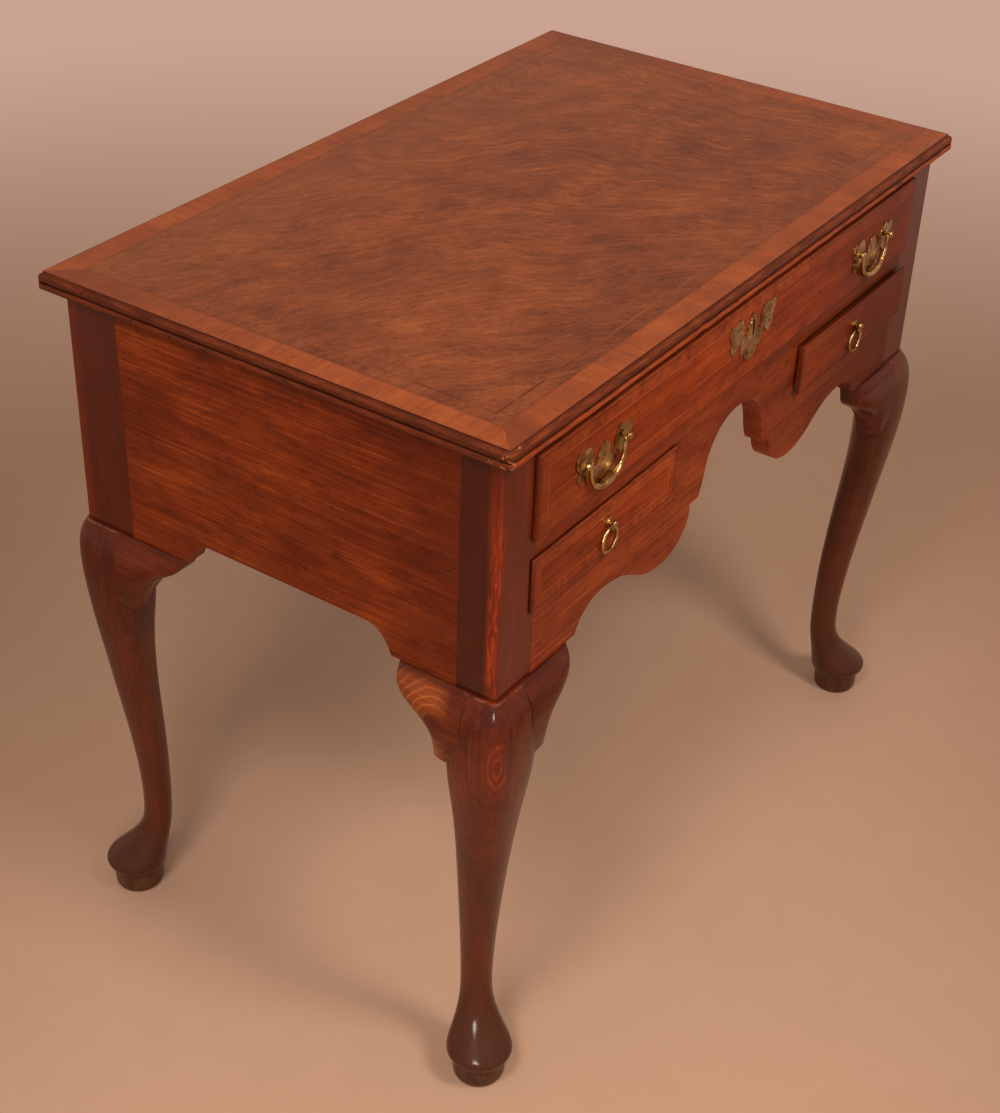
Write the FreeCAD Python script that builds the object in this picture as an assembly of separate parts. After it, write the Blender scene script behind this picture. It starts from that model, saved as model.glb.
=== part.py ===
import FreeCAD, Part
import math
import os

V = FreeCAD.Vector

# Side table with one long and two small lipped drawers on cabriole legs.
# All sizes are in millimetres. +X runs to the right along the front, +Y to the
# back and +Z up. The origin is on the floor under the middle of the whole table.

# Top and case
top_wide = 806.0
top_deep = 500.0
table_high = 711.0
top_thick = 16.0
mould_reach = 5.2
corner_round = 6.5
side_overhang = 13.0
front_overhang = 15.0
back_overhang = 21.0
board_thick = 20.0
back_thick = 14.0
back_inset = 2.0
tongue_thick = 8.0
tongue_long = 10.0

# Banding and line let into the top
band_wide = 26.0
band_deep = 1.2
line_wide = 2.4
line_inset = 39.0

# Posts and legs
front_post_wide = 49.0
front_post_deep = 39.5
back_post_wide = 44.0
back_post_deep = 58.0
back_leg_deep = 50.0
arris_round = 4.0
front_leg_square = 46.0
back_leg_square = 44.5
knee_out = 16.0
shoe_radius = 25.0
shoe_floor_radius = 22.5
shoe_roll = 7.0
foot_set = 10.8
shoe_share = 0.0554
ring_points = 16
foot_reach_share = 1.304
back_hollow_share = 0.45

# Ears beside the knees
side_ear_long = 61.0
face_ear_long = 58.5
ear_back = 18.0
ear_root = 14.0
ear_fullness = 0.7

# Front of the case, heights from the top down
top_rail_tall = 21.5
long_tall = 70.0
mid_rail_tall = 29.0
small_tall = 42.5
post_below = 71.0
small_inner = 122.0
apron_end_share = 0.9538
side_arch_rise = 25.5
side_cusp_flat = 7.5
side_cusp_run = 28.5

# Runners
runner_high = 15.5
runner_ledge = 23.0
guide_high = 20.0
guide_wide = 21.7
back_board_rise = 39.0

# Drawers
slide_gap = 0.3
side_gap = 1.0
lip_over = 5.0
lip_thick = 4.0
small_lip_thick = 2.4
lip_edge_share = 0.45
front_thick = 22.0
long_room = 28.0
small_room = 73.0
drawer_side = 10.0
small_side = 8.0
drawer_back = 8.0
back_drop = 5.0
bottom_thick = 6.0
bottom_raise = 6.0
groove_deep = 4.0
lap_left = 8.0
small_rest_open = 4.0

# Brass fittings
handle_from_end = 90.5
post_spacing = 63.0
handle_drop = 32.8
plate_thick = 1.2
plate_half = 43.0
plate_tall = 51.0
wing_rise = 13.2
head_out = 5.3
head_radius = 3.4
neck_radius = 2.3
collar_radius = 4.6
collar_thick = 1.6
bolt_radius = 2.0
nut_half = 5.0
nut_thick = 3.5
pin_radius = 1.3
bail_drop = 30.2
bail_thin = 1.7
bail_thick = 3.3
escutcheon_drop = 6.5
keyhole_drop = 17.5
keyhole_radius = 2.6
keyhole_slot = 2.8
keyhole_long = 13.0
rim_thick = 0.9
rim_wide = 2.0
stud_drop = 15.5
rose_radius = 5.2
rose_thick = 1.2
stud_out = 6.5
stud_radius = 3.1
stud_neck = 2.8
eye_out = 3.1
eye_drop = 5.3
eye_wall = 1.3
eye_half = 2.0
ring_radius = 11.7
ring_wire = 1.65
ring_gap = 0.6

# Lock
lock_wide = 64.0
lock_high = 44.0
lock_thick = 9.0
lock_wall = 1.5
bolt_wide = 18.0
bolt_thick = 4.0
bolt_high = 18.0
bolt_throw = 8.0

# Derived planes
case_wide = top_wide - 2 * side_overhang
case_deep = top_deep - front_overhang - back_overhang
lip_front = lip_thick + slide_gap
front_reach = knee_out * foot_reach_share
case_front = (front_reach - back_overhang - case_deep) / 2
case_back = case_front + case_deep
top_front = case_front - front_overhang
top_back = top_front + top_deep
half_wide = case_wide / 2
opening_half = half_wide - front_post_wide
case_top = table_high - top_thick
long_high = case_top - top_rail_tall
long_low = long_high - long_tall
rail_low = long_low - mid_rail_tall
small_low = rail_low - small_tall
knee_line = small_low - post_below
apron_drop = (rail_low - knee_line) / apron_end_share
back_board_low = knee_line + back_board_rise
side_inner = half_wide - board_thick
drawer_face = case_front - lip_front
small_face = case_front - slide_gap - small_lip_thick
back_face = case_back - back_inset - back_thick
long_rear = back_face - long_room
small_rear = back_face - small_room
handle_middle = opening_half - handle_from_end
handle_high = long_high - handle_drop
wing_top = handle_high + wing_rise
keyhole_high = long_high - keyhole_drop
stud_high = rail_low - stud_drop

# Share tables. Top edge: reach share outward and drop share downward.
ovolo_shares = [(0.0, 0.10), (0.42, 0.17), (0.68, 0.34), (0.72, 0.52), (0.62, 0.62)]
bead_shares = [(0.50, 0.65), (0.86, 0.71), (1.0, 0.83), (0.80, 1.0)]

# Leg: height share of the knee line, front and back outward reach, inward reach, share of the
# post's width, squareness, hollow.
leg_shares = [
    (0.0553, 1.03, 1.03, 0.835, 0.0, 2.0, 0.0),
    (0.0607, 1.20, 1.20, 0.890, 0.0, 2.0, 0.0),
    (0.0672, 1.30, 1.30, 0.915, 0.0, 2.0, 0.0),
    (0.0750, 1.32, 1.32, 0.920, 0.0, 2.0, 0.0),
    (0.0850, 1.16, 1.16, 0.925, 0.0, 2.0, 0.0),
    (0.0980, 0.80, 0.80, 0.925, 0.0, 2.0, 0.0),
    (0.1170, 0.27, 0.27, 0.920, 0.0, 2.0, 0.0),
    (0.1430, -0.35, -0.35, 0.930, 0.0, 2.0, 0.0),
    (0.1740, -0.78, -0.78, 0.950, 0.0, 2.0, 0.0),
    (0.2060, -0.91, -0.91, 0.968, 0.0, 2.0, 0.0),
    (0.2600, -0.91, -0.92, 0.985, 0.0, 2.0, 0.02),
    (0.3250, -0.80, -0.84, 1.000, 0.0, 2.0, 0.04),
    (0.4340, -0.49, -0.57, 1.007, 0.0, 2.1, 0.09),
    (0.5640, 0.01, -0.09, 1.000, 0.1, 2.3, 0.17),
    (0.6510, 0.34, 0.18, 1.020, 0.3, 2.5, 0.23),
    (0.7370, 0.70, 0.50, 1.090, 0.55, 2.8, 0.30),
    (0.8130, 0.97, 0.72, 1.200, 0.8, 3.1, 0.32),
    (0.8890, 1.07, 0.86, 1.160, 0.9, 3.3, 0.27),
    (0.9440, 0.96, 0.80, 1.087, 1.0, 3.6, 0.15),
    (0.9760, 0.66, 0.57, 1.043, 1.0, 4.4, 0.05),
    (0.9910, 0.36, 0.33, 1.022, 1.0, 5.6, 0.01),
    (1.0, 0.12, 0.12, 1.011, 1.0, 8.0, 0.0),
]

# Ear: height share of the knee line, length share, outward share of the knee, thickness share.
back_ear_shares = [
    (0.8370, 0.15, 0.66, 0.05),
    (0.8600, 0.19, 0.76, 0.15),
    (0.8840, 0.27, 0.83, 0.35),
    (0.9080, 0.38, 0.86, 0.60),
    (0.9320, 0.54, 0.84, 0.85),
    (0.9520, 0.77, 0.77, 1.0),
    (0.9700, 0.93, 0.62, 1.0),
    (0.9870, 1.0, 0.38, 1.0),
    (1.0, 1.01, 0.14, 1.0),
]
front_ear_shares = [
    (0.8370, 0.30, 0.80, 0.56),
    (0.8600, 0.315, 0.90, 0.68),
    (0.8840, 0.37, 0.98, 0.81),
    (0.9040, 0.50, 1.00, 0.92),
    (0.9280, 0.78, 0.98, 1.0),
    (0.9480, 0.95, 0.90, 1.0),
    (0.9700, 1.0, 0.72, 1.0),
    (0.9870, 0.99, 0.44, 1.0),
    (1.0, 0.97, 0.14, 1.0),
]

# Apron: each curve in shares of the half opening and of the apron's drop.
apron_arch_shares = [(0.0, 0.067), (0.088, 0.130), (0.152, 0.357), (0.176, 0.601), (0.185, 0.651)]
apron_step_shares = [(0.185, 0.651), (0.229, 0.651)]
apron_lobe_shares = [
    (0.229, 0.651), (0.232, 0.777), (0.279, 0.937), (0.367, 1.0), (0.469, 0.937),
    (0.557, 0.803), (0.642, 0.744), (0.718, 0.761), (0.768, 0.845), (0.792, apron_end_share),
]

# Plate outline, right half: shares of the half width and of the height below the wings.
keyhole_peak_shares = [(0.0, 0.05), (0.07, 0.07), (0.10, 0.15)]
handle_peak_shares = [(0.0, 0.10), (0.055, 0.105), (0.10, 0.15)]
plate_step_shares = [(0.10, 0.15), (0.145, 0.16), (0.155, 0.21)]
plate_shoulder_shares = [(0.155, 0.21), (0.20, 0.23), (0.215, 0.31)]
plate_gap_shares = [(0.215, 0.31), (0.225, 0.40), (0.29, 0.45), (0.355, 0.41), (0.385, 0.30), (0.37, 0.20)]
plate_wing_shares = [(0.37, 0.20), (0.44, 0.10), (0.51, 0.02), (0.60, 0.0), (0.70, 0.03), (0.79, 0.075)]
plate_tip_shares = [(0.79, 0.075), (0.87, 0.03), (0.96, 0.035), (1.0, 0.12), (0.98, 0.24), (0.91, 0.33), (0.83, 0.38)]
plate_curl_shares = [(0.83, 0.38), (0.90, 0.40), (0.93, 0.46), (0.89, 0.55), (0.80, 0.63), (0.73, 0.66)]
plate_slot_shares = [(0.73, 0.66), (0.66, 0.59), (0.59, 0.54), (0.545, 0.49), (0.50, 0.48), (0.475, 0.52)]
plate_skirt_shares = [(0.475, 0.52), (0.46, 0.64), (0.42, 0.75), (0.35, 0.81)]
plate_nick_shares = [(0.35, 0.81), (0.31, 0.77), (0.26, 0.79)]
plate_tongue_shares = [(0.26, 0.79), (0.25, 0.87), (0.16, 0.93), (0.07, 0.95), (0.0, 1.0)]
plate_hole_shares = [(0.79, 0.46, 0.03), (0.175, 0.78, 0.035), (0.49, 0.30, 0.022)]


def box(x0, x1, y0, y1, z0, z1):
    corner = V(min(x0, x1), min(y0, y1), min(z0, z1))
    return Part.makeBox(abs(x1 - x0), abs(y1 - y0), abs(z1 - z0), corner)


def curve(points):
    if len(points) == 2:
        return Part.makeLine(points[0], points[1])
    spline = Part.BSplineCurve()
    spline.interpolate(points)
    return spline.toShape()


def prism(runs, away):
    edges = [curve(run) for run in runs]
    face = Part.Face(Part.Wire(edges))
    return face.extrude(away)


def polygon(points, away):
    ring = points + [points[0]]
    face = Part.Face(Part.makePolygon(ring))
    return face.extrude(away)


def fuse_all(shapes):
    whole = shapes[0]
    for extra in shapes[1:]:
        whole = whole.fuse(extra)
    return whole.removeSplitter()


def cut_all(shape, tools):
    for tool in tools:
        shape = shape.cut(tool)
    return shape


def one_solid(shape):
    solids = sorted(shape.Solids, key=lambda solid: solid.Volume)
    return solids[-1]


def edge_runs(half, to_point):
    # Moulded section of the top between two mirrored edges.
    arris = half - mould_reach
    quirk = ovolo_shares[0]
    right = [
        [(arris, 0.0), (arris + quirk[0] * mould_reach, quirk[1] * top_thick)],
        [(arris + out * mould_reach, drop * top_thick) for out, drop in ovolo_shares],
        [(arris + out * mould_reach, drop * top_thick) for out, drop in (ovolo_shares[-1], bead_shares[0])],
        [(arris + out * mould_reach, drop * top_thick) for out, drop in bead_shares],
    ]
    left = [[(-side, drop) for side, drop in reversed(run)] for run in reversed(right)]
    under = [[right[-1][-1], left[0][0]]]
    over = [[left[-1][-1], right[0][0]]]
    runs = right + under + left + over
    return [[to_point(side, table_high - drop) for side, drop in run] for run in runs]


def make_top():
    middle = (top_front + top_back) / 2
    across = edge_runs(top_wide / 2, lambda side, z: V(side, top_front, z))
    along = edge_runs(top_deep / 2, lambda side, z: V(-top_wide / 2, middle + side, z))
    slab = prism(across, V(0, top_deep, 0)).common(prism(along, V(top_wide, 0, 0)))
    plan = box(-top_wide / 2, top_wide / 2, top_front, top_back, case_top, table_high)
    corners = [edge for edge in plan.Edges if edge.Vertexes[0].Z != edge.Vertexes[1].Z]
    return slab.common(plan.makeFillet(corner_round, corners))


def make_bands():
    x1 = top_wide / 2 - mould_reach
    y0 = top_front + mould_reach
    y1 = top_back - mould_reach
    z0 = table_high - band_deep
    w = band_wide
    rise = V(0, 0, band_deep)
    corners = {
        "band_front": [(-x1, y0), (x1, y0), (x1 - w, y0 + w), (-x1 + w, y0 + w)],
        "band_back": [(-x1, y1), (x1, y1), (x1 - w, y1 - w), (-x1 + w, y1 - w)],
        "band_left": [(-x1, y0), (-x1, y1), (-x1 + w, y1 - w), (-x1 + w, y0 + w)],
        "band_right": [(x1, y0), (x1, y1), (x1 - w, y1 - w), (x1 - w, y0 + w)],
    }
    return {name: polygon([V(x, y, z0) for x, y in ring], rise) for name, ring in corners.items()}


def make_line():
    z0 = table_high - band_deep
    x1 = top_wide / 2 - mould_reach - line_inset
    y0 = top_front + mould_reach + line_inset
    y1 = top_back - mould_reach - line_inset
    outer = box(-x1, x1, y0, y1, z0, table_high)
    inner = box(-x1 + line_wide, x1 - line_wide, y0 + line_wide, y1 - line_wide, z0, table_high)
    return outer.cut(inner)


def to_corner(shape, right, back):
    # Moves a shape from the local corner, inward along +X and +Y, to a case corner.
    if right:
        shape = shape.mirror(V(0, 0, 0), V(1, 0, 0))
    if back:
        shape = shape.mirror(V(0, 0, 0), V(0, 1, 0))
    x = half_wide if right else -half_wide
    y = case_back if back else case_front
    shape.translate(V(x, y, 0))
    return shape


def smooth_solid(rings):
    # Closed solid whose skin is a smooth surface guided by rings of points.
    around = len(rings[0])
    upward = len(rings)
    poles = [[ring[number] for ring in rings] for number in range(around)]
    skin = Part.BSplineSurface()
    skin.buildFromPolesMultsKnots(
        poles, [1] * (around + 1), [4] + [1] * (upward - 4) + [4],
        list(range(around + 1)), list(range(upward - 2)), True, False, 3, 3)
    low = Part.Face(Part.Wire(skin.vIso(0).toShape()))
    high = Part.Face(Part.Wire(skin.vIso(upward - 3).toShape()))
    shell = Part.Shell([skin.toShape(), low, high])
    shell.sewShape()
    solid = Part.Solid(shell)
    if solid.Volume < 0:
        solid.reverse()
    return solid


def leg_ring(station, back, leg_square, post_wide, post_deep):
    # Rounded square round the leg, flattened towards the inner corner.
    height, front_out, back_out, inward, join, square, hollow = station
    out = back_out if back else front_out
    hollow_share = back_hollow_share if back else 1
    reach_x = leg_square * inward + (post_wide - leg_square) * join
    reach_y = leg_square * inward + (post_deep - leg_square) * join
    low = -knee_out * out
    half_x = (reach_x - low) / 2
    half_y = (reach_y - low) / 2
    swell = 3 / (2 + math.cos(2 * math.pi / ring_points))
    points = []
    for step in range(ring_points):
        angle = 2 * math.pi * step / ring_points
        cosine = math.cos(angle)
        sine = math.sin(angle)
        part_x = math.copysign(abs(cosine) ** (2 / square), cosine)
        part_y = math.copysign(abs(sine) ** (2 / square), sine)
        pull = hollow_share * hollow * max(0, part_x + part_y)
        x = low + half_x * (1 + swell * (part_x - pull))
        y = low + half_y * (1 + swell * (part_y - pull))
        points.append(V(x, y, height * knee_line))
    return points


def make_shoe():
    start = V(0, 0, 0)
    floor_rim = V(shoe_floor_radius, 0, 0)
    wall_low = V(shoe_radius, 0, shoe_roll)
    shoe_high = knee_line * shoe_share
    wall_high = V(shoe_radius, 0, shoe_high)
    axis_high = V(0, 0, shoe_high)
    bend = V((shoe_floor_radius + 2 * shoe_radius) / 3, 0, shoe_roll / 3)
    edges = [
        Part.makeLine(start, floor_rim),
        Part.Arc(floor_rim, bend, wall_low).toShape(),
        Part.makeLine(wall_low, wall_high),
        Part.makeLine(wall_high, axis_high),
        Part.makeLine(axis_high, start),
    ]
    solid = Part.Face(Part.Wire(edges)).revolve(V(0, 0, 0), V(0, 0, 1), 360)
    solid.translate(V(foot_set, foot_set, 0))
    return solid


def make_leg(back):
    post_wide = back_post_wide if back else front_post_wide
    post_deep = back_post_deep if back else front_post_deep
    leg_square = back_leg_square if back else front_leg_square
    leg_deep = back_leg_deep if back else front_post_deep
    rings = [leg_ring(station, back, leg_square, post_wide, leg_deep) for station in leg_shares]
    shaft = smooth_solid(rings)
    post = box(0, post_wide, 0, post_deep, knee_line, case_top)
    arris = [edge for edge in post.Edges if on_axis(edge)]
    post = post.makeFillet(arris_round, arris)
    return fuse_all([shaft, post, make_shoe()])


def on_axis(edge):
    ends = [vertex.Point for vertex in edge.Vertexes]
    return all(abs(end.x) + abs(end.y) < slide_gap for end in ends)


def ear_section(to_place, ear_long, station):
    height, length, out, thick = station
    z = height * knee_line
    end = ear_long * length
    reach = knee_out * out
    inner = -ear_back * thick
    points = []
    for step in range(7):
        angle = math.pi / 2 * step / 6
        points.append(to_place(end * math.cos(angle) ** ear_fullness, reach * math.sin(angle) ** ear_fullness, z))
    back_end = to_place(end, inner, z)
    back_root = to_place(-ear_root, inner, z)
    front_root = to_place(-ear_root, reach, z)
    edges = [
        Part.makeLine(front_root, back_root),
        Part.makeLine(back_root, back_end),
        Part.makeLine(back_end, points[0]),
        curve(points),
        Part.makeLine(points[-1], front_root),
    ]
    return Part.Wire(edges)


def make_ear(back, on_side, leg):
    post_wide = back_post_wide if back else front_post_wide
    post_deep = back_post_deep if back else front_post_deep
    ear_long = side_ear_long if on_side else face_ear_long

    def to_place(along, out, z):
        if on_side:
            return V(-out, post_deep + along, z)
        return V(post_wide + along, -out, z)

    shares = back_ear_shares if back else front_ear_shares
    block = Part.makeLoft([ear_section(to_place, ear_long, station) for station in shares], True, False)
    return one_solid(block.cut(leg))


def side_outline(x, grow):
    # Side board: straight top, arched lower edge with a cusp beside each ear.
    y0 = case_front + front_post_deep
    y1 = case_back - back_post_deep
    high = knee_line + side_arch_rise
    cusp = side_ear_long + side_cusp_flat
    bend = side_cusp_run
    front_curve = [(y0 + cusp, knee_line), (y0 + cusp + bend * 0.2, knee_line + side_arch_rise * 0.45),
                   (y0 + cusp + bend * 0.5, knee_line + side_arch_rise * 0.83), (y0 + cusp + bend, high)]
    back_curve = [(y0 + y1 - y, z) for y, z in reversed(front_curve)]
    runs = [
        [(y0, case_top), (y0, knee_line)],
        [(y0, knee_line), front_curve[0]],
        front_curve,
        [front_curve[-1], back_curve[0]],
        back_curve,
        [back_curve[-1], (y1, knee_line)],
        [(y1, knee_line), (y1, case_top)],
        [(y1, case_top), (y0, case_top)],
    ]
    return prism([[V(x, y, z) for y, z in run] for run in runs], V(grow, 0, 0))


def make_side(sign):
    board = side_outline(sign * half_wide, -sign * board_thick)
    middle = half_wide - board_thick / 2
    x0 = sign * (middle - tongue_thick / 2)
    x1 = sign * (middle + tongue_thick / 2)
    y0 = case_front + front_post_deep - tongue_long
    y1 = case_back - back_post_deep + tongue_long
    low = knee_line + tongue_long
    front_tongue = box(x0, x1, y0, y0 + tongue_long, low, case_top)
    back_tongue = box(x0, x1, y1 - tongue_long, y1, low, case_top)
    return fuse_all([board, front_tongue, back_tongue])


def make_back_board():
    inner = half_wide - back_post_wide
    board = box(-inner, inner, back_face, back_face + back_thick, back_board_low, case_top)
    y0 = back_face + (back_thick - tongue_thick) / 2
    tongues = [box(s * inner, s * (inner + tongue_long), y0, y0 + tongue_thick, back_board_low, case_top)
               for s in (-1, 1)]
    return fuse_all([board] + tongues)


def make_rail(low, high, deep):
    rail = box(-opening_half, opening_half, case_front, case_front + deep, low, high)
    y0 = case_front + tongue_long
    tenon = tongue_long
    tongues = [box(s * opening_half, s * (opening_half + tenon), y0, y0 + tongue_thick, low, high)
               for s in (-1, 1)]
    return fuse_all([rail] + tongues)


def make_apron():
    half = opening_half
    drop_to = [rail_low - share * apron_drop for _, share in apron_lobe_shares]

    def place(shares):
        return [(x * half, rail_low - z * apron_drop) for x, z in shares]

    right = [
        place(apron_arch_shares),
        place(apron_step_shares),
        place(apron_lobe_shares),
        [(apron_lobe_shares[-1][0] * half, drop_to[-1]), (half, drop_to[-1])],
        [(half, drop_to[-1]), (half, small_low)],
        [(half, small_low), (small_inner, small_low)],
        [(small_inner, small_low), (small_inner, rail_low)],
    ]
    left = [[(-x, z) for x, z in reversed(run)] for run in reversed(right)]
    top = [[right[-1][-1], left[0][0]]]
    whole_arch = left[-1][:-1] + right[0]
    runs = right[1:] + top + left[:-1] + [whole_arch]
    board = prism([[V(x, case_front, z) for x, z in run] for run in runs], V(0, board_thick, 0))
    y0 = case_front + tongue_long
    tongues = [box(s * half, s * (half + tongue_long), y0, y0 + tongue_thick, knee_line + tongue_long, small_low)
               for s in (-1, 1)]
    return fuse_all([board] + tongues)


def make_outer_runner(sign, high, front):
    inner = opening_half - runner_ledge
    y_post = case_front + front_post_deep
    y_end = case_back - back_post_deep
    ledge = box(sign * inner, sign * opening_half, front, y_end, high - runner_high, high)
    wall = box(sign * opening_half, sign * side_inner, y_post, y_end, high - runner_high, high + guide_high)
    return fuse_all([ledge, wall])


def make_inner_runner(sign):
    y0 = case_front + board_thick
    wall = box(sign * (small_inner - guide_wide), sign * small_inner, y0, back_face,
               small_low - runner_high, small_low + guide_high)
    ledge = box(sign * small_inner, sign * (small_inner + runner_ledge), y0, back_face,
                small_low - runner_high, small_low)
    return fuse_all([wall, ledge])


def lipped_front(x0, x1, z0, z1, face):
    # Drawer front with a quarter-round lip over the opening on every side.
    body = box(x0 + side_gap, x1 - side_gap, case_front - slide_gap, face + front_thick,
               z0 + slide_gap, z1 - side_gap)
    lx0, lx1 = x0 - lip_over, x1 + lip_over
    lz0, lz1 = z0 - lip_over, z1 + lip_over
    back = case_front - slide_gap
    lip_edge = (back - face) * lip_edge_share
    roll = back - face - lip_edge

    def lip_run(a0, a1, to_point):
        edge = back - lip_edge
        bulge = roll * (1 - math.sqrt(0.5))
        arc_low = Part.Arc(to_point(a0, edge), to_point(a0 + bulge, face + bulge),
                           to_point(a0 + roll, face))
        arc_high = Part.Arc(to_point(a1 - roll, face), to_point(a1 - bulge, face + bulge),
                            to_point(a1, edge))
        edges = [
            Part.makeLine(to_point(a0, back), to_point(a0, edge)),
            arc_low.toShape(),
            Part.makeLine(to_point(a0 + roll, face), to_point(a1 - roll, face)),
            arc_high.toShape(),
            Part.makeLine(to_point(a1, edge), to_point(a1, back)),
            Part.makeLine(to_point(a1, back), to_point(a0, back)),
        ]
        return Part.Face(Part.Wire(edges))

    wide = lip_run(lx0, lx1, lambda a, y: V(a, y, lz0)).extrude(V(0, 0, lz1 - lz0))
    tall = lip_run(lz0, lz1, lambda a, y: V(lx0, y, a)).extrude(V(lx1 - lx0, 0, 0))
    return fuse_all([wide.common(tall), body])


def drawer_side_board(x, thick, y0, y1, z0, z1, lap, through, tails):
    # Side board with dovetails at both ends, widening outward.
    pitch = (z1 - z0) / tails
    neck = pitch * 0.24
    flare = pitch * 0.34
    ring = [V(x, y0, z0)]
    for number in range(tails):
        middle = z0 + pitch * (number + 0.5)
        ring += [V(x, y0, middle - neck), V(x, y0 - lap, middle - flare),
                 V(x, y0 - lap, middle + flare), V(x, y0, middle + neck)]
    ring.append(V(x, y0, z1))
    ring.append(V(x, y1, z1))
    for number in reversed(range(tails)):
        middle = z0 + pitch * (number + 0.5)
        ring += [V(x, y1, middle + neck), V(x, y1 + through, middle + flare),
                 V(x, y1 + through, middle - flare), V(x, y1, middle - neck)]
    ring.append(V(x, y1, z0))
    return polygon(ring, V(thick, 0, 0))


def make_drawer(name, x0, x1, z0, z1, face, rear, side, tails):
    front = lipped_front(x0, x1, z0, z1, face)
    bx0, bx1 = x0 + side_gap, x1 - side_gap
    bz0, bz1 = z0 + slide_gap, z1 - side_gap
    front_back = face + front_thick
    lap = front_back - lap_left - case_front + slide_gap
    sy0 = front_back
    sy1 = rear - drawer_back
    left = drawer_side_board(bx0, side, sy0, sy1, bz0, bz1, lap, drawer_back, tails)
    right = drawer_side_board(bx1 - side, side, sy0, sy1, bz0, bz1, lap, drawer_back, tails)
    floor_low = bz0 + bottom_raise
    floor_high = floor_low + bottom_thick
    bottom = box(bx0 + side - groove_deep, bx1 - side + groove_deep, front_back - groove_deep, rear,
                 floor_low, floor_high)
    back = box(bx0, bx1, sy1, rear, floor_high, bz1 - back_drop)
    foot_blocks = [box(bx0, bx0 + side, sy1, rear, bz0, floor_high), box(bx1 - side, bx1, sy1, rear, bz0, floor_high)]
    back = back.cut(left).cut(right)
    left = left.cut(bottom)
    right = right.cut(bottom)
    front = cut_all(front, [left, right, bottom])
    return {
        name + "_front": front,
        name + "_side_left": trim_tail(left, foot_blocks[0], bottom),
        name + "_side_right": trim_tail(right, foot_blocks[1], bottom),
        name + "_back": back,
        name + "_bottom": bottom,
    }


def trim_tail(board, block, bottom):
    # The side runs on below the back as a plain foot to its rear end.
    return one_solid(board.fuse(block.cut(bottom)).removeSplitter())


def plate_blank(x, z_top, peak_shares):
    # Pierced plate lying on the drawer face, with its wings' tops at z_top.
    y = drawer_face - plate_thick
    tall = plate_tall
    tables = [peak_shares, plate_step_shares, plate_shoulder_shares, plate_gap_shares, plate_wing_shares,
              plate_tip_shares, plate_curl_shares, plate_slot_shares, plate_skirt_shares, plate_nick_shares,
              plate_tongue_shares]
    right = [[(a * plate_half, z_top - b * tall) for a, b in table] for table in tables]
    left = [[(-a, b) for a, b in reversed(run)] for run in reversed(right)]
    runs = [[V(x + a, y, b) for a, b in run] for run in right + left]
    plate = prism(runs, V(0, plate_thick, 0))
    for a, b, r in plate_hole_shares:
        for sign in (-1, 1):
            seat = V(x + sign * a * plate_half, y - plate_thick, z_top - b * tall)
            plate = plate.cut(Part.makeCylinder(r * tall, 3 * plate_thick, seat, V(0, 1, 0)))
    return plate


def make_handle_plate(x):
    plate = plate_blank(x, wing_top, handle_peak_shares)
    for sign in (-1, 1):
        seat = V(x + sign * post_spacing / 2, drawer_face - 2 * plate_thick, handle_high)
        plate = plate.cut(Part.makeCylinder(bolt_radius, 3 * plate_thick, seat, V(0, 1, 0)))
    return plate


def make_escutcheon():
    plate = plate_blank(0, long_high - escutcheon_drop, keyhole_peak_shares)
    rim = keyhole(drawer_face - plate_thick - rim_thick, drawer_face - plate_thick, rim_wide)
    return plate.fuse(rim).removeSplitter().cut(keyhole(drawer_face - 3 * plate_thick, drawer_face + plate_thick, 0))


def make_post(x):
    # Turned post: collar on the plate, neck, pierced ball head, bolt and nut.
    y_plate = drawer_face - plate_thick
    y_head = drawer_face - head_out
    y_inner = drawer_face + front_thick
    out = V(0, -1, 0)
    collar = Part.makeCone(collar_radius, neck_radius, collar_thick, V(x, y_plate, handle_high), out)
    neck = Part.makeCylinder(neck_radius, y_plate - y_head, V(x, y_plate, handle_high), out)
    head = Part.makeSphere(head_radius, V(x, y_head, handle_high))
    bolt = Part.makeCylinder(bolt_radius, y_inner - y_plate, V(x, y_plate, handle_high), V(0, 1, 0))
    nut = box(x - nut_half, x + nut_half, y_inner, y_inner + nut_thick, handle_high - nut_half, handle_high + nut_half)
    eye = Part.makeCylinder(pin_radius + slide_gap, 4 * head_radius, V(x - 2 * head_radius, y_head, handle_high),
                            V(1, 0, 0))
    return fuse_all([collar, neck, head, bolt, nut]).cut(eye)


def bail_point(share):
    # Half a bail from the pivot pin, with a small curl out of the post, to the low middle.
    angle = math.pi * share
    half = post_spacing / 2 - head_radius - bail_thin - slide_gap
    x = -half * math.cos(angle)
    z = -bail_drop * math.sin(angle) ** 0.62
    return x, z


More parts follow.
